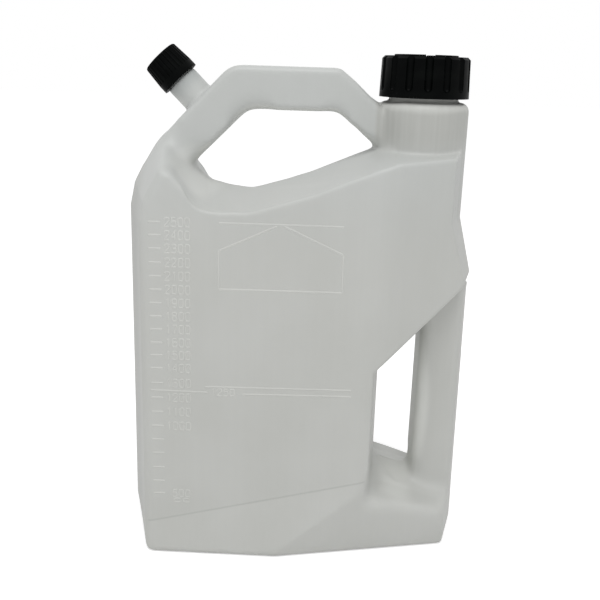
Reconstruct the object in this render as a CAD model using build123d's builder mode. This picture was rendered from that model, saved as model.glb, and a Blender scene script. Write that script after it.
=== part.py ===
from build123d import *
from math import atan, cos, degrees, radians, sin, tan
import os

# Fuel mixing bottle, blow-moulded in one hollow piece, with two screw caps.
# X runs from the spout end to the filler end, Y from front to back, Z up.
# The origin is on the floor, under the middle of the base.

# Bottle, overall
body_width = 194.0        # left side to right side, on the parting plane
body_height = 268.6       # floor to the top of the handle
panel_depth = 92.6        # front panel to back panel
foot_depth = 101.4        # across the base, at its fullest
wall = 1.8
overrun = 60.0            # how far blanks and cutters run past the form

# Drafts and facets of the mould
top_draft = 8.0           # degrees, on the top edges and the lower right diagonal
side_draft = 16.5         # degrees, on the two ends
front_turn = 23.5         # degrees, how the right front facet turns back
left_foot_turn = -1.7     # degrees, facets of the base in plan
left_foot_lean = 7.2      # degrees, the left one leans inwards going up
right_foot_turn = 11.4
right_foot_lean = -9.1
ledge_fall = 21.5         # degrees, the ledge beside the grip, falling outwards
ledge_run = 15.6          # degrees, falling to the right
fold_share = 0.221        # of the width: where the right front facet starts
foot_corner_share = -0.069
ledge_x_share = 0.338     # a point of the ledge on the parting plane
ledge_z_share = 0.158

# Rounds of the body
sharp_turn = 40.0         # degrees between two faces, from which an edge gets its rim round
hollow_round = 22.0       # the bends of the top edge under the hand hole
fold_round = 45.0         # where the right front facet starts
left_round = 6.0          # the soft left edge of the panels
base_round = 3.0
rim_round = 1.6           # the crisp outer edges of the panels and facets; inside they are sharp
corner_round = 3.0        # lower left corner of the grip's hole
front_reach = 25.0        # edges further out than this belong to the front
left_share = -0.360       # left of it lie the soft left edges
root_share = -0.330       # left of it lies the crest at the handle's left root
top_low_share = 0.700     # above it lies the top
hollow_shares = (-0.300, 0.100)
corner_high_share = 0.200

# Outlines on the parting plane, as shares of the width and of the height
top_shares = (
    (-0.660, 1.045), (-0.309, 0.808), (-0.241, 0.764), (-0.155, 0.754), (0.017, 0.792),
    (0.183, 0.843), (0.244, 0.854), (0.660, 0.858), (0.660, 0.706), (0.244, 0.405),
    (0.244, -0.220), (-0.660, -0.220),
)
side_shares = (
    (-0.500, -0.220), (-0.500, 0.713), (-0.486, 0.762), (-0.439, 0.828), (-0.408, 0.858),
    (-0.254, 1.005), (0.454, 1.005), (0.454, 0.716), (0.498, 0.592), (0.493, 0.557),
    (0.500, 0.000), (0.500, -0.220),
)

# Handle, a hollow bar bent over the hand hole
handle_depth = 26.0
handle_round = 3.2
handle_bend = 14.0        # radius of the left outer bend
handle_nose = 6.0         # radius of the right outer bend
handle_shares = (
    (-0.426, 0.838), (-0.208, 1.000), (0.090, 1.000), (0.264, 0.9025), (0.264, 0.821),
    (0.208, 0.843), (0.084, 0.916), (-0.160, 0.916), (-0.309, 0.809), (-0.335, 0.770),
    (-0.426, 0.770),
)

# Grip column on the right, under the filler neck
grip_depth = 27.6
grip_round = 6.0
grip_inner_share = 0.358
grip_outer_share = 0.560
grip_low_share = 0.080
grip_high_share = 0.570

# Filler neck and its finish under the cap
neck_x_share = 0.3268
neck_radius = 24.7
neck_low_share = 0.700
shoulder_share = 0.940
shoulder_round = 4.5
finish_radius = 18.6      # outside of the filler finish, between its threads
finish_height = 20.3      # shoulder to lip
finish_wall = 2.2

# Spout on the handle's left slope
spout_x_share = -0.303
spout_z_share = 0.9335
spout_tilt = 44.6         # degrees off upright, towards the left
spout_radius = 9.0
spout_length = 12.8       # handle slope to the shoulder under the cap
spout_sink = 9.0          # how far the tube starts inside the handle
spout_finish_radius = 7.3
spout_finish_height = 13.6
spout_finish_wall = 1.6

# Base underside
foot_recess = 1.5
recess_shares = ((-0.410, 0.36), (-0.069, 0.40), (0.415, 0.20))

# Caps and sealing discs
thread_room = 1.5         # from finish to cap bore, taken up by the threads
cap_gap = 2.2             # shoulder to filler cap rim
cap_radius = 24.1         # at the rim
cap_draft = 1.7           # degrees, narrowing upwards
cap_top = 2.0
cap_chamfer = 1.4
flute_count = 15
flute_radius = 2.15
flute_out = 0.45          # how far outside the cap's surface a flute's centre lies
flute_start = -93.0       # degrees, the one nearest the front
flute_base = 5.4          # smooth band under the flutes
liner_thickness = 1.2
liner_room = 0.4
crown_radius = 17.0       # raised arcs on the filler cap's top
crown_width = 2.0
crown_height = 0.8
crown_gap = 5.0
crown_gap_count = 4

spout_cap_gap = 0.6
spout_cap_radius = 11.1   # at the rim
spout_cap_top_radius = 10.1
spout_cap_top = 1.8
spout_cap_round = 1.2
spout_cap_band = 4.2      # smooth band under the ribs
spout_thread_room = 1.1
rib_count = 28
rib_radius = 0.8
rib_out = 0.25

half_depth = panel_depth / 2
half_foot = foot_depth / 2
blank_depth = half_foot + overrun / 4
neck_x = neck_x_share * body_width
shoulder_z = shoulder_share * body_height
lip_z = shoulder_z + finish_height
spout_axis = (-sin(radians(spout_tilt)), 0, cos(radians(spout_tilt)))
spout_plane = Plane(
    origin=(spout_x_share * body_width, 0, spout_z_share * body_height),
    x_dir=(cos(radians(spout_tilt)), 0, sin(radians(spout_tilt))),
    z_dir=spout_axis,
)


def outline(shares):
    return [(x * body_width, z * body_height) for x, z in shares]


def facing(x, y, z, turn, lean, inset):
    """A plane through a point, facing the front, turned in plan and leaned back."""
    face = Plane(origin=(x, y, z), z_dir=(tan(radians(turn)), -1, tan(radians(lean))))
    return face.offset(-inset)


def blank(shares, draft, inset):
    """An outline on the parting plane, drafted towards the front."""
    with BuildPart() as piece:
        with BuildSketch(Plane.XZ):
            with BuildLine():
                Polyline(*outline(shares), close=True)
            make_face()
            if inset:
                offset(amount=-inset, kind=Kind.INTERSECTION)
        extrude(amount=blank_depth, taper=draft)
    return piece.part


def surface_turn(edge, solid):
    """How far the solid's surface turns at an edge, in degrees."""
    sides = [face.normal_at(edge @ 0.5) for face in solid.faces() if edge in face.edges()]
    return sides[0].get_angle(sides[-1])


def is_front_rim(edge, solid):
    return edge.bounding_box().max.Y < -front_reach and surface_turn(edge, solid) > sharp_turn


def is_crest(edge, solid):
    """A sharp edge that runs up to the handle's left root."""
    left = edge.center().X < root_share * body_width
    high = edge.center().Z > top_low_share * body_height
    deep = edge.bounding_box().size.Y > wall
    return left and high and deep and surface_turn(edge, solid) > sharp_turn


def half_body(inset, floor):
    """The front half of the body, drawn in by inset, standing on its floor height."""
    foot_x = foot_corner_share * body_width
    left_foot = facing(foot_x, -half_foot, 0, left_foot_turn, left_foot_lean, inset)
    right_foot = facing(foot_x, -half_foot, 0, right_foot_turn, right_foot_lean, inset)
    right_front = facing(fold_share * body_width, -half_depth, 0, front_turn, 0, inset)
    ledge = Plane(
        origin=(ledge_x_share * body_width, 0, ledge_z_share * body_height),
        z_dir=(tan(radians(ledge_run)), -tan(radians(ledge_fall)), 1),
    ).offset(-inset)
    ends = blank(side_shares, side_draft, inset)

    with BuildPart() as front_cut:
        with BuildSketch(facing(0, -half_depth, 0, 0, 0, inset)):
            Rectangle(2 * body_height + overrun, 2 * body_height + overrun)
        extrude(amount=overrun)
        split(bisect_by=left_foot, keep=Keep.TOP)

    with BuildPart() as torso:
        add(blank(top_shares, top_draft, inset))
        add(ends, mode=Mode.INTERSECT)
        add(front_cut.part, mode=Mode.SUBTRACT)
        split(bisect_by=right_foot, keep=Keep.BOTTOM)
        split(bisect_by=right_front, keep=Keep.BOTTOM)

    with BuildPart() as right_block:
        with BuildSketch(Plane.XZ):
            with Locations((body_width / 4, 0)):
                Rectangle(body_width / 2 + overrun, body_height / 2)
        extrude(amount=blank_depth)
        add(ends, mode=Mode.INTERSECT)
        split(bisect_by=right_foot, keep=Keep.BOTTOM)
        split(bisect_by=left_foot, keep=Keep.BOTTOM)
        split(bisect_by=ledge, keep=Keep.BOTTOM)

    with BuildPart() as grip:
        low, high = grip_low_share * body_height, grip_high_share * body_height
        inner, outer = grip_inner_share * body_width, grip_outer_share * body_width
        with BuildSketch(Plane.XZ):
            with Locations(((inner + outer) / 2 + inset, (low + high) / 2)):
                Rectangle(outer - inner, high - low)
        extrude(amount=grip_depth / 2 - inset)
        add(ends, mode=Mode.INTERSECT)
        front_rim = faces().sort_by(Axis.Y)[0].edges()
        fillet(front_rim.filter_by(Axis.X, reverse=True), radius=grip_round - inset)

    with BuildPart() as half:
        add(torso.part)
        add(right_block.part)
        add(grip.part)
        split(bisect_by=Plane.XY.offset(floor), keep=Keep.TOP)

        across = edges().filter_by(lambda e: e.bounding_box().size.Y > grip_depth)
        top = across.filter_by(lambda e: e.center().Z > top_low_share * body_height)
        hollow_low, hollow_high = hollow_shares
        hollows = top.filter_by(lambda e: hollow_low < e.center().X / body_width < hollow_high)
        fillet(hollows, radius=hollow_round + inset)
        upright = edges().filter_by(lambda e: e.bounding_box().max.Y < -front_reach).filter_by(Axis.Z)
        fillet(upright.sort_by(lambda e: abs(e.center().X - fold_share * body_width))[0], radius=fold_round)
        rims = edges().filter_by(lambda e: is_front_rim(e, half.part))
        rims = rims.filter_by(lambda e: e.bounding_box().max.Z > floor + wall)
        fillet(rims.filter_by(lambda e: e.center().X < left_share * body_width), radius=left_round - inset)
        base = edges().group_by(Axis.Z)[0].filter_by(lambda e: e.bounding_box().min.Y < -wall)
        fillet(base, radius=base_round - inset)
        if rim_round > inset:
            rims = edges().filter_by(lambda e: is_front_rim(e, half.part) or is_crest(e, half.part))
            fillet(rims, radius=rim_round - inset)
        corner = edges().filter_by(lambda e: e.bounding_box().size.Y > grip_depth)
        corner = corner.filter_by(lambda e: grip_low_share < e.center().Z / body_height < corner_high_share)
        fillet(corner.sort_by(Axis.X)[0], radius=corner_round + inset)
    return half.part


def handle_bar(inset):
    with BuildPart() as bar:
        with BuildSketch(Plane.XZ):
            with BuildLine():
                Polyline(*outline(handle_shares), close=True)
            make_face()
            corners = vertices().group_by(Axis.Y)[-1].sort_by(Axis.X)
            fillet(corners[0], radius=handle_bend)
            fillet(vertices().group_by(Axis.Y)[-1].sort_by(Axis.X)[-1], radius=handle_nose)
            if inset:
                offset(amount=-inset, kind=Kind.INTERSECTION)
        extrude(amount=handle_depth / 2 - inset, both=True)
        rims = faces().group_by(Axis.Y)[0].edges() + faces().group_by(Axis.Y)[-1].edges()
        fillet(rims, radius=handle_round - inset)
    return bar.part


def neck(inset):
    """The shoulder cylinder under the filler finish."""
    with BuildPart() as post:
        with BuildSketch(Plane.XY.offset(neck_low_share * body_height)):
            with Locations((neck_x, 0)):
                Circle(neck_radius - inset)
        extrude(amount=shoulder_z - inset - neck_low_share * body_height)
        fillet(faces().sort_by(Axis.Z)[-1].edges(), radius=shoulder_round - inset)
    return post.part


def form(inset, floor):
    with BuildPart() as whole:
        add(half_body(inset, floor))
        mirror(about=Plane.XZ)
        add(handle_bar(inset))
        add(neck(inset))
        with BuildSketch(spout_plane.offset(-spout_sink)):
            Circle(spout_radius - inset)
        extrude(amount=spout_sink + spout_length - inset)
    return whole.part


# One hollow moulding: outer form and both finishes, less the cavity and the bores
body_outside = form(0, 0)
body_cavity = form(wall, wall + foot_recess)
with BuildPart() as bottle:
    add(body_outside)
    with BuildSketch(Plane.XY.offset(shoulder_z)):
        with Locations((neck_x, 0)):
            Circle(finish_radius)
    extrude(amount=finish_height)
    with BuildSketch(spout_plane.offset(spout_length)):
        Circle(spout_finish_radius)
    extrude(amount=spout_finish_height)
    add(body_cavity, mode=Mode.SUBTRACT)
    with BuildSketch(Plane.XY.offset(lip_z)):
        with Locations((neck_x, 0)):
            Circle(finish_radius - finish_wall)
    extrude(amount=-finish_height - wall - shoulder_round, mode=Mode.SUBTRACT)
    with BuildSketch(spout_plane.offset(spout_length + spout_finish_height)):
        Circle(spout_finish_radius - spout_finish_wall)
    extrude(amount=-spout_finish_height - 2 * wall, mode=Mode.SUBTRACT)
    with BuildSketch(Plane.XY):
        with BuildLine():
            right = [(x * body_width, -y * foot_depth) for x, y in recess_shares]
            left = [(x * body_width, y * foot_depth) for x, y in reversed(recess_shares)]
            Polyline(*right, *left, close=True)
        make_face()
    extrude(amount=foot_recess, mode=Mode.SUBTRACT)

# Filler cap, a fluted cup with a chamfered top and raised arcs on it
cap_low = shoulder_z + cap_gap
cap_high = lip_z + liner_thickness + cap_top
cap_height = cap_high - cap_low
cap_bore = finish_radius + thread_room
with BuildPart() as flute:
    with BuildSketch(Plane.XZ):
        with BuildLine():
            Polyline((0, -flute_radius), (0, cap_height), (flute_radius, cap_height), (flute_radius, 0))
            CenterArc((0, 0), flute_radius, start_angle=-90, arc_size=90)
        make_face()
    revolve(axis=Axis.Z)

with BuildPart() as filler_cap:
    cap_top_radius = cap_radius - cap_height * tan(radians(cap_draft))
    with Locations((neck_x, 0, cap_low + cap_height / 2)):
        Cone(cap_radius, cap_top_radius, cap_height)
    chamfer(faces().sort_by(Axis.Z)[-1].edges(), length=cap_chamfer)
    with BuildSketch(Plane.XY.offset(cap_low)):
        with Locations((neck_x, 0)):
            Circle(cap_bore)
    extrude(amount=cap_high - cap_top - cap_low, mode=Mode.SUBTRACT)
    flute_reach = cap_radius + flute_out - flute_base * tan(radians(cap_draft))
    with Locations((neck_x, 0, cap_low + flute_base)):
        with PolarLocations(flute_reach, flute_count, start_angle=flute_start):
            add(flute.part, rotation=(0, -cap_draft, 0), mode=Mode.SUBTRACT)
    with BuildSketch(Plane.XY.offset(cap_high)):
        with Locations((neck_x, 0)):
            Circle(crown_radius)
            Circle(crown_radius - crown_width, mode=Mode.SUBTRACT)
            with PolarLocations(crown_radius, crown_gap_count):
                Rectangle(crown_radius, crown_gap, mode=Mode.SUBTRACT)
    extrude(amount=crown_height)

with BuildPart() as filler_cap_liner:
    with BuildSketch(Plane.XY.offset(lip_z)):
        with Locations((neck_x, 0)):
            Circle(cap_bore - liner_room)
    extrude(amount=liner_thickness)

# Spout cap, a tapered cup with fine ribs over a smooth band
spout_lip = spout_length + spout_finish_height
spout_cap_low = spout_length + spout_cap_gap
spout_cap_high = spout_lip + liner_thickness + spout_cap_top
spout_bore = spout_finish_radius + spout_thread_room
with BuildPart() as spout_cap:
    with BuildSketch(spout_plane.offset(spout_cap_low)):
        Circle(spout_cap_radius)
    extrude(amount=spout_cap_band)
    with BuildSketch(spout_plane.offset(spout_cap_low + spout_cap_band)):
        Circle(spout_cap_radius)
    with BuildSketch(spout_plane.offset(spout_cap_high)):
        Circle(spout_cap_top_radius)
    loft()
    fillet(faces().sort_by(Axis((0, 0, 0), spout_axis))[-1].edges(), radius=spout_cap_round)
    with BuildSketch(spout_plane.offset(spout_cap_low)):
        Circle(spout_bore)
    extrude(amount=spout_lip + liner_thickness - spout_cap_low, mode=Mode.SUBTRACT)
    rib_length = spout_cap_high - spout_cap_low - spout_cap_band
    rib_middle = (spout_cap_radius + spout_cap_top_radius) / 2 + rib_out
    rib_lean = degrees(atan((spout_cap_radius - spout_cap_top_radius) / rib_length))
    with Locations(spout_plane.offset(spout_cap_high - rib_length / 2)):
        with PolarLocations(rib_middle, rib_count):
            Cylinder(rib_radius, rib_length, rotation=(0, -rib_lean, 0), mode=Mode.SUBTRACT)

with BuildPart() as spout_cap_liner:
    with BuildSketch(spout_plane.offset(spout_lip)):
        Circle(spout_bore - liner_room)
    extrude(amount=liner_thickness)

os.makedirs("parts", exist_ok=True)
pieces = {
    "bottle": bottle,
    "filler_cap": filler_cap,
    "filler_cap_liner": filler_cap_liner,
    "spout_cap": spout_cap,
    "spout_cap_liner": spout_cap_liner,
}
for name, piece in pieces.items():
    piece.part.label = name
    export_step(piece.part, f"parts/{name}.step")
    print(name, len(piece.part.solids()), round(piece.part.volume))
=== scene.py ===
import math

import bmesh
import bpy
import numpy as np
from mathutils import Matrix, Vector


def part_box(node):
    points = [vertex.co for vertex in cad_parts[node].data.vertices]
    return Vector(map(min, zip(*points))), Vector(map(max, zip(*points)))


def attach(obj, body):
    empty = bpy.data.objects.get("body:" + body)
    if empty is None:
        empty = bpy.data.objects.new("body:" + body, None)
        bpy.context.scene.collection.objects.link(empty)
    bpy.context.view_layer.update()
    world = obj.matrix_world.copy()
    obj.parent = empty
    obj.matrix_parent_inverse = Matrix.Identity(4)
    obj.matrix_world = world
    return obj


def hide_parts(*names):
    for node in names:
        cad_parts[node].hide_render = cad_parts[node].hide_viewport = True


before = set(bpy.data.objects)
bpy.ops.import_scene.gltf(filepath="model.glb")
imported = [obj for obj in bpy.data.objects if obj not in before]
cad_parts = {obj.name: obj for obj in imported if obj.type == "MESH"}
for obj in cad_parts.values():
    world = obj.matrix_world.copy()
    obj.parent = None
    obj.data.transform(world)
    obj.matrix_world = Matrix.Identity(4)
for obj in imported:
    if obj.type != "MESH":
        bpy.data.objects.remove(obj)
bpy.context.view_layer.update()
scene = bpy.context.scene
mm = 0.001


# A new object in the scene, with this mesh, camera or lamp
def placed(name, data):
    made = bpy.data.objects.new(name, data)
    scene.collection.objects.link(made)
    return made


# Camera, at the height and tilt from which the bottle was photographed
cameraSetup = {
    "place": (0.0, -0.465, 0.2708),
    "lens": 50.0,
    "sensor": 36.0,
    "reach": (0.01, 50.0),    # nearest and farthest that it sees
    "lookDown": 15.9,         # degrees under level
    "roll": 1.86,             # degrees
}

cameraData = bpy.data.cameras.new("photo_camera")
cameraData.lens = cameraSetup["lens"]
cameraData.sensor_width = cameraSetup["sensor"]
cameraData.clip_start, cameraData.clip_end = cameraSetup["reach"]
camera = placed("photo_camera", cameraData)
camera.matrix_world = (
    Matrix.Translation(cameraSetup["place"])
    @ Matrix.Rotation(math.radians(90 - cameraSetup["lookDown"]), 4, "X")
    @ Matrix.Rotation(math.radians(cameraSetup["roll"]), 4, "Z")
)
scene.camera = camera
scene.view_settings.view_transform = "Standard"


# Shader maths: a wire is one output socket of a node, and sums on it add Math nodes
class Wire:
    def __init__(self, tree, socket=None):
        self.tree = tree
        self.socket = socket

    # any node, by its type, its settings, then the values or wires of its sockets
    def node(self, kind, settings=None, sockets=None, output=0):
        made = self.tree.nodes.new(kind)
        for name, value in (settings or {}).items():
            setattr(made, name, value)
        for name, value in (sockets or {}).items():
            if isinstance(value, Wire):
                self.tree.links.new(value.socket, made.inputs[name])
            else:
                made.inputs[name].default_value = value
        return Wire(self.tree, made.outputs[output])

    def maths(self, operation, first, second=0.0):
        return self.node("ShaderNodeMath", {"operation": operation}, {0: first, 1: second})

    def __add__(self, other):
        return self.maths("ADD", self, other)

    __radd__ = __add__

    def __mul__(self, other):
        return self.maths("MULTIPLY", self, other)

    __rmul__ = __mul__

    def __sub__(self, other):
        return self.maths("SUBTRACT", self, other)

    def __rsub__(self, other):
        return self.maths("SUBTRACT", other, self)

    def __abs__(self):
        return self.maths("ABSOLUTE", self)

    # 0 at low and 1 at high with a soft start and end, and held beyond them
    def rise(self, low, high):
        return self.node("ShaderNodeMapRange", {"interpolation_type": "SMOOTHSTEP"},
                         {"Value": self, "From Min": low, "From Max": high})

    # noise on a vector, with its size in metres along each axis
    def noise(self, size, detail=2.0):
        scaled = self.node("ShaderNodeVectorMath", {"operation": "DIVIDE"}, {0: self, 1: size})
        return self.node("ShaderNodeTexNoise", None, {"Vector": scaled, "Scale": 1.0, "Detail": detail})

    # one number of a vector, by its place
    def part(self, place):
        return self.node("ShaderNodeSeparateXYZ", None, {0: self}, place)

    # from one colour to another by this mask
    def between(self, first, second):
        return self.node("ShaderNodeMix", {"data_type": "RGBA"}, {0: self, 6: first, 7: second}, 2)


# A colour as it is seen, from 0 to 255, made linear for a shader
def linear(red, green, blue):
    share = np.array([red, green, blue]) / 255
    return tuple(np.where(share <= 0.04045, share / 12.92, ((share + 0.055) / 1.055) ** 2.4)) + (1.0,)


coordinates = {"facing": 1, "place": 3}    # outputs of Texture Coordinate: Normal and Object


# A material with its shader and the place of each point on the piece
def newMaterial(name):
    material = bpy.data.materials.new(name)
    material.use_nodes = True
    tree = material.node_tree
    place = Wire(tree).node("ShaderNodeTexCoord", None, None, coordinates["place"])
    return material, tree.nodes["Principled BSDF"], place


def feed(shader, name, wire):
    wire.tree.links.new(wire.socket, shader.inputs[name])


# A bump from a height in metres, on the normal that is given or the surface's own
def feedBump(shader, height, strength, normal=None):
    sockets = {"Strength": strength, "Distance": 1.0, "Height": height}
    if normal:
        sockets["Normal"] = normal
    feed(shader, "Normal", height.node("ShaderNodeBump", None, sockets))


# Milky blow-moulded plastic: cloudy tone, faint flow streaks, a fine parting ridge and a satin skin
milky = {
    "pale": (188, 189, 186),
    "deep": (181, 182, 178),
    # painted light: a cooler tint on the upper body, standing in for the tint of upward faces
    "cool": (184, 189, 190),
    "coolHeights": (0.165, 0.235),
    "coolShare": 0.3,
    "raised": (194, 195, 191),  # of the marks, a little paler: painted light on their raised strokes
    "markLightShare": 0.5,
    "shaded": (158, 162, 161),  # of the spout beside its cap, which keeps the light out
    "shadedAlong": (0.002, 0.012),
    "shadedShare": 0.8,
    "neckShade": (170, 171, 167),   # painted shade of the neck, whose thicker wall lets less light through
    "neckReach": (0.0245, 0.0275),
    "neckHeights": (-0.004, 0.012),
    "neckStreaks": 0.5,
    "neckShadeStreaks": 0.3,
    "line": (160, 162, 158),    # painted shade along the crease over the base, on the front and back panels
    "lineLow": 0.03797,         # its height at the middle, and its slope
    "lineSlope": 0.2349,
    "lineWidth": 0.0009,
    "lineDepths": (0.0448, 0.0458),
    "lineEnd": (0.042, 0.047),
    "creaseShadeShare": 0.5,
    "turned": (170, 171, 168),  # painted shade of the left side, which turns away from the light
    "turnedFrom": -0.083,
    "turnedOver": 0.008,
    "turnedShare": 0.55,
    "hollow": (212, 213, 209),  # painted light where the walls of a hollow light each other through the plastic
    # middle and half size of each hollow, x and z, and how far its colour shows
    "hollows": (
        (0.060, 0.078, 0.019, 0.060, 0.75),      # beside the grip
        (-0.056, 0.214, 0.019, 0.016, 0.35),     # at the handle's left root
        (0.0634, 0.2535, 0.032, 0.0075, 0.25),   # under the large cap
    ),
    "hollowDepths": (0.029, 0.040),
    "hollowFade": (0.35, 1.0),
    "under": 0.7,               # how far that painted light shows on faces that look down
    "underHeights": (0.1, 0.12),
    "underTilt": (0.25, 0.75),
    "cloudSize": (0.05, 0.05, 0.07),
    "cloudEdges": (0.3, 0.7),
    "cloudShare": 0.55,
    "streakSize": (0.0026, 0.0026, 0.12),
    "streakEdges": (0.25, 0.75),
    "streakShare": 0.12,
    "roughness": 0.44,
    "roughnessSpread": 0.06,
    "grain": 0.0011,            # size of the skin's orange peel
    "grainHeight": 0.00002,
    "waveSize": (0.02, 0.02, 0.03),
    "waveHeight": 0.0003,
    "seamWidth": 0.00045,
    "seamHeight": 0.00012,
    "bump": 0.6,
    "softEdge": 0.0009,         # how far the light runs round edges and inner corners
    "ior": 1.5,
    "gloss": 0.35,
}


# Marks are too fine for soft edges, and a little paler, which paints light on their raised strokes
def milkyPlastic(name, neckPlace, mark=False):
    material, shader, place = newMaterial(name)
    x, y, z = (place.part(k) for k in range(3))
    upward = place.node("ShaderNodeTexCoord", None, None, coordinates["facing"]).part(2)
    upSpout = (z - spoutBase[1]) * math.cos(spoutAngle) - (x - spoutBase[0]) * math.sin(spoutAngle)
    nearCap = upSpout.rise(*milky["shadedAlong"])
    clouds = place.noise(milky["cloudSize"], 3.0).rise(*milky["cloudEdges"])
    streaks = place.noise(milky["streakSize"]).rise(*milky["streakEdges"])
    nearNeck = 1 - abs(x - neckPlace[0]).rise(*milky["neckReach"])
    nearNeck = nearNeck * z.rise(*(neckPlace[1] + height for height in milky["neckHeights"]))

    # tone of the plastic, with painted light on the marks and the upper body and painted shade on the neck
    streaked = streaks * (nearNeck * milky["neckStreaks"] + milky["streakShare"])
    tone = clouds * milky["cloudShare"] + streaked + (milky["markLightShare"] if mark else 0.0)
    body = tone.between(linear(*milky["deep"]), linear(*milky["raised" if mark else "pale"]))
    coolLight = z.rise(*milky["coolHeights"]) * (1 - nearNeck) * milky["coolShare"]
    body = coolLight.between(body, linear(*milky["cool"]))
    shadeOnNeck = nearNeck * (1 - streaks * milky["neckShadeStreaks"])
    body = shadeOnNeck.between(body, linear(*milky["neckShade"]))

    # painted light under the handle and in the hollows, painted shade at the left side and along the crease
    under = (0 - upward).rise(*milky["underTilt"]) * z.rise(*milky["underHeights"]) * milky["under"]
    body = under.between(body, linear(*milky["hollow"]))
    inside = 1 - abs(y).rise(*milky["hollowDepths"])
    for middleX, middleZ, wide, high, share in milky["hollows"]:
        across, up = (x - middleX) * (1 / wide), (z - middleZ) * (1 / high)
        near = (1 - (across * across + up * up).rise(*milky["hollowFade"])) * inside * share
        body = near.between(body, linear(*milky["hollow"]))
    turned = (milky["turnedFrom"] - x).rise(0.0, milky["turnedOver"]) * milky["turnedShare"]
    body = turned.between(body, linear(*milky["turned"]))
    if not mark:
        fromLine = abs(z - (x * milky["lineSlope"] + milky["lineLow"]))
        line = (1 - fromLine.rise(0.0, milky["lineWidth"])) * abs(y).rise(*milky["lineDepths"])
        line = line * (1 - x.rise(*milky["lineEnd"])) * milky["creaseShadeShare"]
        body = line.between(body, linear(*milky["line"]))
    feed(shader, "Base Color", (nearCap * milky["shadedShare"]).between(body, linear(*milky["shaded"])))
    spread = milky["roughnessSpread"]
    feed(shader, "Roughness", clouds * spread + (milky["roughness"] - spread / 2))

    # skin: orange peel, slow waves of the blown wall and the ridge at the parting plane
    seam = 1 - abs(y).rise(0.0, milky["seamWidth"])
    peel = place.noise((milky["grain"],) * 3)
    waves = place.noise(milky["waveSize"], 1.0)
    height = peel * milky["grainHeight"] + waves * milky["waveHeight"] + seam * milky["seamHeight"]
    soft = None if mark else place.node("ShaderNodeBevel", {"samples": 6}, {"Radius": milky["softEdge"]})
    feedBump(shader, height, milky["bump"], soft)
    shader.inputs["IOR"].default_value = milky["ior"]
    shader.inputs["Specular IOR Level"].default_value = milky["gloss"]
    return material


# Black injection-moulded plastic of the two caps, worn a little paler in patches
black = {
    "base": (2, 3, 3),
    "worn": (7, 9, 8),
    "patchSize": (0.012, 0.012, 0.006),
    "patchEdges": (0.35, 0.8),
    "roughness": 0.38,
    "roughnessSpread": 0.12,
    "grain": 0.0005,
    "grainHeight": 0.000015,
    "bump": 0.6,
    "gloss": 0.04,
}


def blackPlastic(name):
    material, shader, place = newMaterial(name)
    patches = place.noise(black["patchSize"], 3.0).rise(*black["patchEdges"])
    feed(shader, "Base Color", patches.between(linear(*black["base"]), linear(*black["worn"])))
    feed(shader, "Roughness", patches * black["roughnessSpread"] + black["roughness"])
    feedBump(shader, place.noise((black["grain"],) * 3) * black["grainHeight"], black["bump"])
    shader.inputs["Specular IOR Level"].default_value = black["gloss"]
    return material


# White foamed sealing disc
disc = {
    "light": (226, 226, 222),
    "dark": (208, 208, 202),
    "cell": 0.0007,
    "cellEdges": (0.3, 0.7),
    "cellHeight": 0.00006,
    "roughness": 0.55,
    "roughnessSpread": 0.15,
    "bump": 0.7,
}


def discFoam(name):
    material, shader, place = newMaterial(name)
    cells = place.noise((disc["cell"],) * 3, 3.0)
    paler = cells.rise(*disc["cellEdges"])
    feed(shader, "Base Color", paler.between(linear(*disc["dark"]), linear(*disc["light"])))
    feed(shader, "Roughness", cells * disc["roughnessSpread"] + disc["roughness"])
    feedBump(shader, cells * disc["cellHeight"], disc["bump"])
    return material


bodyWide, bodyHigh = 0.194, 0.2686
spoutBase = (-0.303 * bodyWide, 0.9335 * bodyHigh)    # where the spout's axis meets the handle's slope, x and z
spoutAngle = math.radians(44.6)                       # its lean to the left
linerLow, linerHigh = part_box("filler_cap_liner")
neckMiddle = (linerLow.x + linerHigh.x) / 2
fillerLip = linerLow.z                                # the liner lies on the neck's lip
neckPlace = (neckMiddle, 0.226)                       # the neck's middle and the height of its foot
bottleSkin = milkyPlastic("milky_plastic", neckPlace)
markSkin = milkyPlastic("milky_marks", neckPlace, True)
capSkin = blackPlastic("black_cap_plastic")
smallCapSkin = blackPlastic("black_spout_cap_plastic")
linerSkin = discFoam("sealing_foam")
for nodeName, skin in {
    "bottle": bottleSkin,
    "filler_cap": capSkin,
    "spout_cap": smallCapSkin,
    "filler_cap_liner": linerSkin,
    "spout_cap_liner": linerSkin,
}.items():
    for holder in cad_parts[nodeName].material_slots:
        holder.material = skin
print("materials made")


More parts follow.
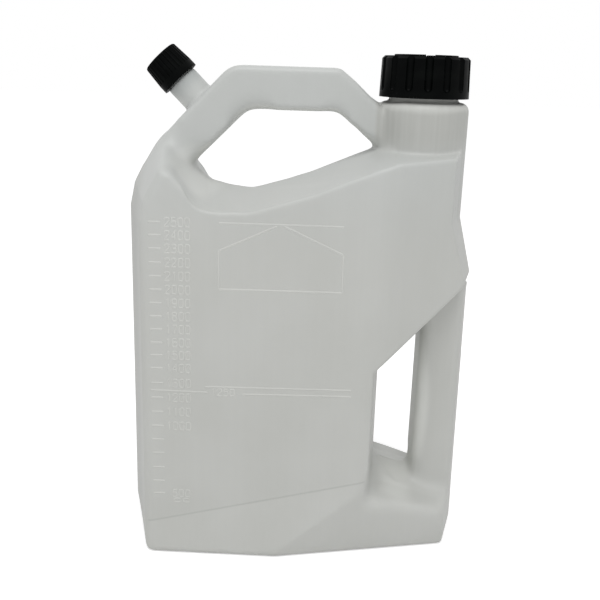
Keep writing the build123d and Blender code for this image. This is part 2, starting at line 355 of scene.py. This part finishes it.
# The moulding as it leaves the mould. A merged copy of the CAD mesh is cut into small even cells. The points
# along a pressed place are shifted. Then in each round a point goes part of the way to the mean of its
# neighbours: a little everywhere, and further along the soft places, by the share of 1 inside reach, falling
# to 0 over fade. Each place lies between two ends (x, distance from the parting plane, z). In millimetres.
moulding = {
    "merge": 0.002,
    "cell": 0.8,
    "evenRounds": 3,
    "softRounds": 160,
    "step": 0.5,
    "keep": 0.155,            # share of the faces that is kept
    # two ends, reach, fade and share
    "softPlaces": (
        ((40, 0, 226), (40, 13, 226), 6, 6, 0.3),          # right tip of the hand hole
        ((-60, 0, 217), (-60, 13, 217), 7, 7, 0.5),        # its left tip
        ((-31, 0, 246), (-31, 13, 246), 9, 7, 0.8),        # its upper corners
        ((16, 0, 246), (16, 13, 246), 4, 6, 0.35),
        ((-84, 13, 224), (-60, 14, 216), 7, 9, 1.0),       # handle's left root
        ((-85, 0, 226), (-85, 13, 226), 6, 8, 0.6),
        ((-76, 17, 224), (-62, 30, 214), 9, 10, 1.0),      # the hollow in front of it
        ((-76, 14, 231), (-65, 42, 224), 5, 8, 1.0),       # and the crest beside it
        ((41, 13, 227), (46, 14, 240), 3, 6, 0.4),         # handle on the neck
        ((69.5, 0, 131), (69.5, 14, 131), 3, 5, 0.3),      # top of the grip's hole
        ((69.5, 0, 41), (69.5, 14, 41), 5, 6, 0.6),        # foot of the grip
        ((70, 14, 38), (96, 14, 30), 3, 6, 0.4),
        ((50, 42, 37), (92, 36, 29), 8, 12, 1.0),          # front of the ledge
        ((47.3, 14, 42), (47.3, 44, 37), 2, 5, 0.4),
        ((-96, 0, 1), (-94, 47, 1), 4, 8, 0.6),            # lower left corner
    ),
    # two ends, reach, fade, then the shift along x and z
    "pressed": (
        ((-58, 0, 215), (-47, 46, 203), 6, 10, -1.6, -1.7),    # lower left edge of the hand hole
        ((26, 0, 262), (46, 13, 246), 3, 7, -0.6, -0.8),       # handle's right slope
        ((17, 0, 246), (40, 13, 228), 3, 7, 0.4, 0.5),         # and the slope under it
        ((-20, 0, 207), (36, 44, 222), 3, 10, 0.0, -0.5),      # shelf under the hand hole
        ((54, 0, 45), (64, 12, 43), 4, 7, 0.0, -1.8),          # foot of the grip's hole
        ((-58, 28, 216), (-50, 46, 206), 4, 8, -1.2, -1.6),    # shelf behind the left tip
        ((-97, 0, 0), (-95, 44, 0), 3, 9, 1.8, 0.5),           # lower left corner
    ),
    # half of the roof's outline over the grip's hollow, x and distance from the parting plane
    "roof": ((87, 12.2), (91.5, 12.2), (94.9, 1.0)),
    "roofHeights": (151.2, 153.1),
    # rise of the ledge at distances from the parting plane, so that its front edge lies less low,
    # and its share over x and over the height
    "ledgeRise": ((0, -3.2), (22, -3.0), (38, 2.0)),
    "ledgeAlong": ((41, 0), (50, 1)),
    "ledgeHeights": ((4, 0), (24, 1), (60, 1), (95, 0)),
    # the finishes keep their shape: up the spout, down from the filler's lip and left of its middle
    "spoutFinish": 12.6,
    "fillerFinish": (20.5, 25),
    "finishShare": 0.1,
}


# Share of each point in a place: 1 within reach of the line between its ends, 0 beyond reach and fade
def within(points, ends, reach, fade):
    start, end = np.array(ends) * mm
    folded = points * (1, 0, 1) + np.abs(points) * (0, 1, 0)
    line = end - start
    along = np.clip((folded - start) @ line / (line @ line), 0, 1)
    away = np.linalg.norm(folded - start - along[:, None] * line, axis=1)
    share = np.clip((reach + fade - away / mm) / fade, 0, 1)
    return share * share * (3 - 2 * share)


# Straight lines through the corners of a table, for values in metres and a table in millimetres
def through(values, table):
    at, height = np.array(table, float).T
    return np.interp(values, at * mm, height)


# Each point moves by weight times the way to the mean of its neighbours, in every round
def relaxed(points, edges, weight, rounds):
    edges = edges[(weight[edges] > 0.001).any(axis=1)]
    used, local = np.unique(edges, return_inverse=True)
    first, second = local.reshape(-1, 2).T
    part, pull = points[used], weight[used][:, None]
    size = len(used)
    count = np.bincount(np.concatenate([first, second]), minlength=size)[:, None]
    for _ in range(rounds):
        total = [
            np.bincount(first, part[second, k], size) + np.bincount(second, part[first, k], size)
            for k in range(3)
        ]
        part = part + (np.stack(total, axis=1) / count - part) * pull
    points = points.copy()
    points[used] = part
    return points


# A new mesh, as one modifier leaves this one
def applied(mesh, kind, settings):
    holder = placed("working", mesh)
    modifier = holder.modifiers.new("working", kind)
    for name, value in settings.items():
        setattr(modifier, name, value)
    made = bpy.data.meshes.new_from_object(holder.evaluated_get(bpy.context.evaluated_depsgraph_get()))
    bpy.data.objects.remove(holder)
    return made


# The CAD mesh with its doubles merged. Its wall is open where the grip steps in under the side, so the
# hollow gets its roof there, and the cells then join the two.
def closedCopy():
    work = bmesh.new()
    work.from_mesh(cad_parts["bottle"].data)
    bmesh.ops.remove_doubles(work, verts=work.verts, dist=moulding["merge"] * mm)
    corners = [
        work.verts.new((x * mm, side * y * mm, z * mm))
        for x, y in moulding["roof"] for side in (-1, 1) for z in moulding["roofHeights"]
    ]
    bmesh.ops.convex_hull(work, input=corners)
    mesh = bpy.data.meshes.new("merged")
    work.to_mesh(mesh)
    work.free()
    return mesh


def mouldedShell():
    cells = {"mode": "VOXEL", "voxel_size": moulding["cell"] * mm, "use_smooth_shade": True}
    mesh = applied(closedCopy(), "REMESH", cells)
    points = np.empty(len(mesh.vertices) * 3)
    mesh.vertices.foreach_get("co", points)
    points = points.reshape(-1, 3)
    edges = np.empty(len(mesh.edges) * 2, int)
    mesh.edges.foreach_get("vertices", edges)
    edges = edges.reshape(-1, 2)

    x, z = points[:, 0], points[:, 2]
    upSpout = (z - spoutBase[1]) * math.cos(spoutAngle) - (x - spoutBase[0]) * math.sin(spoutAngle)
    down, left = moulding["fillerFinish"]
    onFiller = (z > fillerLip - down * mm) & (x > neckMiddle - left * mm)
    onFinish = (upSpout > moulding["spoutFinish"] * mm) | onFiller
    soft = np.zeros(len(points))
    for *ends, reach, fade, share in moulding["softPlaces"]:
        soft = np.maximum(soft, within(points, ends, reach, fade) * share)

    for *ends, reach, fade, alongX, alongZ in moulding["pressed"]:
        points = points + within(points, ends, reach, fade)[:, None] * np.array([alongX, 0, alongZ]) * mm
    ledge = through(points[:, 0], moulding["ledgeAlong"]) * through(points[:, 2], moulding["ledgeHeights"])
    points[:, 2] += ledge * through(np.abs(points[:, 1]), moulding["ledgeRise"]) * mm
    even = np.where(onFinish, moulding["finishShare"], 1.0) * moulding["step"]
    points = relaxed(points, edges, even, moulding["evenRounds"])
    points = relaxed(points, edges, np.where(onFinish, 0, soft) * moulding["step"], moulding["softRounds"])
    mesh.vertices.foreach_set("co", points.ravel())
    return applied(mesh, "DECIMATE", {"ratio": moulding["keep"]})


shellMesh = mouldedShell()
shellMesh.name = "bottle_shell"
shellMesh.polygons.foreach_set("use_smooth", np.ones(len(shellMesh.polygons), bool))
shellMesh.materials.clear()
shellMesh.materials.append(bottleSkin)
shell = placed("bottle_shell", shellMesh)
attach(shell, "bottle")
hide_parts("bottle")
print("shell made:", len(shellMesh.polygons), "faces")


# A mesh piece from its points and faces, riding on a body
def newPiece(name, points, faces, body, slot, skin):
    mesh = bpy.data.meshes.new(name)
    mesh.from_pydata(points.tolist(), [], faces)
    mesh.polygons.foreach_set("use_smooth", np.ones(len(mesh.polygons), bool))
    mesh.materials.append(skin)
    mesh.validate()
    piece = placed(name, mesh)
    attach(piece, body)


# Quads between neighbouring rings of a grid of points, each ring closed on itself. A loop joins its last
# ring to its first, and any other tube is closed by a face at each end. Outwards where the rings turn right.
def tubeFaces(rings, count, start=0, loop=False):
    ring = np.arange(rings if loop else rings - 1)[:, None]
    step = np.arange(count)
    low = ring * count + step
    beside = ring * count + (step + 1) % count
    beyond = (ring + 1) % rings * count
    quads = np.stack([low, beyond + step, beyond + (step + 1) % count, beside], axis=2).reshape(-1, 4) + start
    ends = [] if loop else [(step + start).tolist(), (step[::-1] + start + (rings - 1) * count).tolist()]
    return quads.tolist() + ends


# Corner cutting: in each round, every side of the path is cut at a quarter and three quarters
def softened(path, closed, rounds=3):
    path = np.array(path, float)
    for _ in range(rounds):
        ahead = np.roll(path, -1, axis=0) if closed else path[1:]
        here = path if closed else path[:-1]
        cut = np.stack([0.75 * here + 0.25 * ahead, 0.25 * here + 0.75 * ahead], axis=1).reshape(-1, 2)
        path = cut if closed else np.vstack([path[:1], cut, path[-1:]])
    keep = np.linalg.norm(path - np.roll(path, 1, axis=0), axis=1) > 1e-9
    return path[keep]


# A raised bead along a path on the front panel. Across the path, at s from -1 to 1, it stands out of the panel
# by height (1 - s^2)^2, with its root under the surface, and shrinks as a half circle over width/2 at each end,
# so that a rounded nose closes it.
def bead(path, width, height, closed=False, root=0.1 * mm, around=5, least=0.04):
    if closed:
        along = np.roll(path, -1, axis=0) - np.roll(path, 1, axis=0)
        scale = np.ones(len(path))
    else:
        steps = np.concatenate([[0], np.cumsum(np.linalg.norm(np.diff(path, axis=0), axis=1))])
        nose = width / 2 * np.array([0.0, 0.12, 0.45, 1.0])
        middle = steps[(steps > nose[-1]) & (steps < steps[-1] - nose[-1])]
        stations = np.unique(np.concatenate([nose, steps[-1] - nose, middle]))
        path = np.stack([np.interp(stations, steps, path[:, k]) for k in (0, 1)], axis=1)
        along = np.gradient(path, stations, axis=0)
        fromEnd = np.minimum(stations, steps[-1] - stations) / (width / 2)
        scale = np.sqrt(np.clip(1 - (1 - np.clip(fromEnd, 0, 1)) ** 2, 0, 1))
    along = along / np.linalg.norm(along, axis=1)[:, None]
    side = np.stack([along[:, 1], -along[:, 0]], axis=1)
    spread = np.linspace(1, -1, around)
    profile = np.array([*((1 - spread ** 2) ** 2 * height), -root, -root])
    spread = np.array([*spread, -1, 1])
    scale = np.clip(scale, least, 1)[:, None]
    across = width / 2 * spread * scale
    grid = np.empty((len(path), around + 2, 3))
    grid[:, :, 0] = path[:, None, 0] + side[:, None, 0] * across
    grid[:, :, 1] = -profile * scale
    grid[:, :, 2] = path[:, None, 1] + side[:, None, 1] * across
    return grid, closed


# Marks on the front panel, in millimetres
marks = {
    "front": -46.3,
    "tickLeft": -79.0,
    "tickRight": -72.4,
    "tickWidth": 1.0,
    "tickHeight": 0.15,
    "tickDrift": 0.4,           # how far the lowest tick stands to the right of the highest
    # height of each tick above the floor, from 2500 down to 500
    "levels": (190.5, 183.7, 176.7, 169.3, 162.0, 154.8, 147.5, 140.2, 133.0, 125.6, 118.5,
               111.2, 102.6, 94.2, 85.9, 77.6, 69.5, 61.4, 52.7, 44.4, 36.7),
    "amounts": range(2500, 900, -100),
    "numberLeft": -71.0,
    "numberWidth": 14.0,        # of four figures
    "figureHeight": 4.6,
    "strokeWidth": 0.85,
    "strokeHeight": 0.14,
    # text, left end, middle height, width and height of the other figures
    "others": (("1250", -46.9, 98.2, 13.6, 3.9), ("500", -68.3, 36.7, 10.8, 4.2), ("cc", -67.9, 32.4, 10.2, 2.4)),
    "lineWidth": 1.05,
    "lineHeight": 0.15,
    # long level lines, and the plain upward arrow frame from corner to corner
    "lines": (
        ((-79.0, 98.4), (-48.1, 97.9)),
        ((-49.7, 101.2), (29.1, 101.6)),
        ((-29.7, 97.5), (29.2, 98.0)),
        ((-42.8, 190.9), (21.5, 190.8)),
    ),
    "frame": ((-12.9, 190.1), (-42.7, 176.4), (-42.6, 155.9), (21.8, 156.0), (21.6, 176.2), (-8.9, 190.1)),
}

# Strokes of each figure in a cell one wide and one high. A point given twice keeps its corner.
figures = {
    "0": [("loop", (0.15, 1), (0.85, 1), (1, 0.8), (1, 0.2), (0.85, 0), (0.15, 0), (0, 0.2), (0, 0.8))],
    "1": [("line", (0.25, 0.8), (0.6, 1), (0.6, 1), (0.6, 0))],
    "2": [("line", (0, 0.72), (0.04, 1), (0.96, 1), (1, 0.62), (0.45, 0.36), (0, 0), (0, 0), (1, 0))],
    "3": [("line", (0, 0.84), (0.15, 1), (0.96, 1), (0.98, 0.56), (0.4, 0.54), (0.4, 0.54), (1, 0.52), (1, 0),
           (0.12, 0), (0, 0.16))],
    "4": [("line", (0.76, 0), (0.76, 1), (0.76, 1), (0, 0.3), (0, 0.3), (1, 0.3))],
    "5": [("line", (0.94, 1), (0.1, 1), (0.1, 1), (0.05, 0.56), (0.05, 0.56), (0.45, 0.66), (1, 0.6), (1, 0),
           (0.1, 0), (0, 0.16))],
    "6": [("line", (0.92, 0.9), (0.8, 1), (0.05, 1), (0, 0.5), (0, 0), (1, 0), (1, 0.58), (0.2, 0.6), (0.02, 0.4))],
    "7": [("line", (0, 1), (1, 1), (1, 1), (0.4, 0))],
    "8": [("loop", (0.1, 1), (0.9, 1), (0.94, 0.55), (0.06, 0.55)),
          ("loop", (0.02, 0.54), (0.98, 0.54), (1, 0), (0, 0))],
    "9": [("line", (0.08, 0.1), (0.2, 0), (0.95, 0), (1, 0.5), (1, 1), (0, 1), (0, 0.42), (0.8, 0.4), (0.98, 0.6))],
    "c": [("line", (1, 0.72), (0.9, 1), (0.1, 1), (0, 0.5), (0.1, 0), (0.9, 0), (1, 0.28))],
}


# Beads of a row of figures, from its left end and its middle height. A figure fills two thirds of its place.
def figureRow(string, left, middle, width, height, fill=0.66):
    pitch = width / len(string)
    beads = []
    for place, letter in enumerate(string):
        for form, *path in figures[letter]:
            soft = softened(path, form == "loop") * (pitch * fill, height)
            soft = soft + (left + pitch * (place + (1 - fill) / 2), middle - height / 2)
            beads.append(bead(soft * mm, marks["strokeWidth"] * mm, marks["strokeHeight"] * mm, form == "loop"))
    return beads


def lineBead(path):
    return bead(np.array(path) * mm, marks["lineWidth"] * mm, marks["lineHeight"] * mm)


# Several beads joined into one mesh on the front panel
def markPiece(name, beads):
    points, faces, start = [], [], 0
    for grid, closed in beads:
        rings, around = grid.shape[:2]
        points.append(grid.reshape(-1, 3) + (0, marks["front"] * mm, 0))
        faces += tubeFaces(rings, around, start, closed)
        start += rings * around
    newPiece(name, np.concatenate(points), faces, "bottle", "bottle_plastic", markSkin)


ticks = []
for height, shift in zip(marks["levels"], np.linspace(0, marks["tickDrift"], len(marks["levels"]))):
    path = np.array([(marks["tickLeft"] + shift, height), (marks["tickRight"] + shift, height)])
    ticks.append(bead(path * mm, marks["tickWidth"] * mm, marks["tickHeight"] * mm))
markPiece("level_ticks", ticks)

numerals = []
for amount, height in zip(marks["amounts"], marks["levels"]):
    numerals += figureRow(str(amount), marks["numberLeft"], height, marks["numberWidth"], marks["figureHeight"])
for row in marks["others"]:
    numerals += figureRow(*row)
markPiece("level_numerals", numerals)

markPiece("level_lines", [lineBead(path) for path in marks["lines"]])
markPiece("arrow_frame", [lineBead(pair) for pair in zip(marks["frame"][:-1], marks["frame"][1:])])
print("marks made:", len(ticks), "ticks,", len(numerals), "strokes of figures")


# A screw thread: a low hump carried along a helix. At turn angle a and across the hump s from -1 to 1, the
# radius is base + depth (1 - s^4), and the height start + pitch a / 2 pi + s width / 2. Both ends run out over
# a share of a turn, and the hump's root lies under the surface that it stands on.
def thread(base, depth, width, pitch, turns, start, runOut=0.12, under=0.15 * mm, perTurn=48, across=8):
    angle = np.linspace(0, 2 * math.pi * turns, int(perTurn * turns) + 1)
    swell = np.clip(np.minimum(angle, angle[-1] - angle) / (2 * math.pi * runOut), 0, 1)
    swell = swell * swell * (3 - 2 * swell)
    spread = np.linspace(-1, 1, across)
    top = base + depth * (1 - spread ** 4) * swell[:, None]
    root = np.full((len(angle), across), base - np.sign(depth) * under)
    lift = start + pitch * angle / (2 * math.pi)
    rise = lift[:, None] + spread * width / 2
    radius = np.concatenate([top, root[:, ::-1]], axis=1)
    rise = np.concatenate([rise, rise[:, ::-1]], axis=1)
    if depth < 0:
        radius, rise = radius[:, ::-1], rise[:, ::-1]
    return np.stack([radius * np.cos(angle)[:, None], radius * np.sin(angle)[:, None], rise], axis=2)


# Threads stand on the neck finishes and inside the caps, each on its own axis. In millimetres and turns.
threads = {
    "filler_thread": {
        "on": ("bottle", "bottle_plastic", bottleSkin), "axis": "filler",
        "base": 18.6, "depth": 0.85, "width": 1.9, "pitch": 4.233, "turns": 2.6, "start": 5.2},
    "filler_cap_thread": {
        "on": ("filler_cap", "cap_plastic", capSkin), "axis": "filler",
        "base": 20.1, "depth": -0.5, "width": 1.5, "pitch": 4.233, "turns": 2.4, "start": 7.3},
    "spout_thread": {
        "on": ("bottle", "bottle_plastic", bottleSkin), "axis": "spout",
        "base": 7.3, "depth": 0.6, "width": 1.4, "pitch": 3.0, "turns": 2.6, "start": 3.4},
    "spout_cap_thread": {
        "on": ("spout_cap", "small_cap_plastic", smallCapSkin), "axis": "spout",
        "base": 8.4, "depth": -0.4, "width": 1.1, "pitch": 3.0, "turns": 2.2, "start": 4.9},
}
finishHeight = {"filler": 20.3, "spout": 12.8}    # down from the filler's lip, and up the spout
axes = {
    "filler": Matrix.Translation((neckMiddle, 0, fillerLip - finishHeight["filler"] * mm)),
    "spout": Matrix.Translation((spoutBase[0], 0, spoutBase[1]))
    @ Matrix.Rotation(-spoutAngle, 4, "Y")
    @ Matrix.Translation((0, 0, finishHeight["spout"] * mm)),
}
for name, wind in threads.items():
    sizes = [wind[key] * mm for key in ("base", "depth", "width", "pitch")]
    grid = thread(*sizes, wind["turns"], wind["start"] * mm)
    matrix = np.array(axes[wind["axis"]])
    points = grid.reshape(-1, 3) @ matrix[:3, :3].T + matrix[:3, 3]
    newPiece(name, points, tubeFaces(*grid.shape[:2]), *wind["on"])
print("threads made:", len(threads))


# Floor and light: a white floor that keeps the shadow, an even white surround, a broad soft lamp high in front
# and a weak one low in front
light = {
    "surround": 0.74,
    "floorReach": 6.0,
    "floorColour": (0.88, 0.88, 0.88, 1.0),
    "floorLift": 0.38,         # glow of the floor in the camera's view alone, which brings it to white
    # place, the point it faces, size and power of each lamp
    "key": ((-0.05, -0.72, 1.5), (0.0, 0.0, 0.12), 0.9, 9.6),
    "fill": ((0.0, -1.1, 0.12), (0.0, 0.0, 0.16), 1.1, 0.6),
}

floorMesh = bpy.data.meshes.new("floor")
reach = light["floorReach"]
corners = [(-reach, -reach, 0), (reach, -reach, 0), (reach, reach, 0), (-reach, reach, 0)]
floorMesh.from_pydata(corners, [], [(0, 1, 2, 3)])
floor = placed("floor", floorMesh)

floorSkin = bpy.data.materials.new("pale_floor")
floorSkin.use_nodes = True
tree = floorSkin.node_tree
tree.nodes.remove(tree.nodes["Principled BSDF"])
matte = Wire(tree).node("ShaderNodeBsdfDiffuse", None, {"Color": light["floorColour"]})
seen = Wire(tree).node("ShaderNodeLightPath")
glow = seen.node("ShaderNodeEmission", None, {"Strength": seen * light["floorLift"]})
feed(tree.nodes["Material Output"], "Surface", glow.node("ShaderNodeAddShader", None, {0: matte, 1: glow}))
floorMesh.materials.append(floorSkin)

world = bpy.data.worlds.new("surround")
world.use_nodes = True
scene.world = world
tree = world.node_tree
path = tree.nodes.new("ShaderNodeLightPath")
toCamera, toGlass, toGloss = (
    Wire(tree, path.outputs[name]) for name in ("Is Camera Ray", "Is Transmission Ray", "Is Glossy Ray"))
inView = toCamera.maths("MAXIMUM", toCamera.maths("MAXIMUM", toCamera, toGlass), toGloss)
back = tree.nodes["Background"]
back.inputs["Color"].default_value = (1.0, 1.0, 1.0, 1.0)
feed(back, "Strength", inView * (1 - light["surround"]) + light["surround"])

for lampName in ("key", "fill"):
    stand, aim, size, power = light[lampName]
    lampData = bpy.data.lights.new(lampName, "AREA")
    lampData.shape = "DISK"
    lampData.size = size
    lampData.energy = power
    lamp = placed(lampName, lampData)
    facing = (Vector(aim) - Vector(stand)).to_track_quat("-Z", "Y")
    lamp.matrix_world = Matrix.Translation(stand) @ facing.to_matrix().to_4x4()
print("floor and light made")
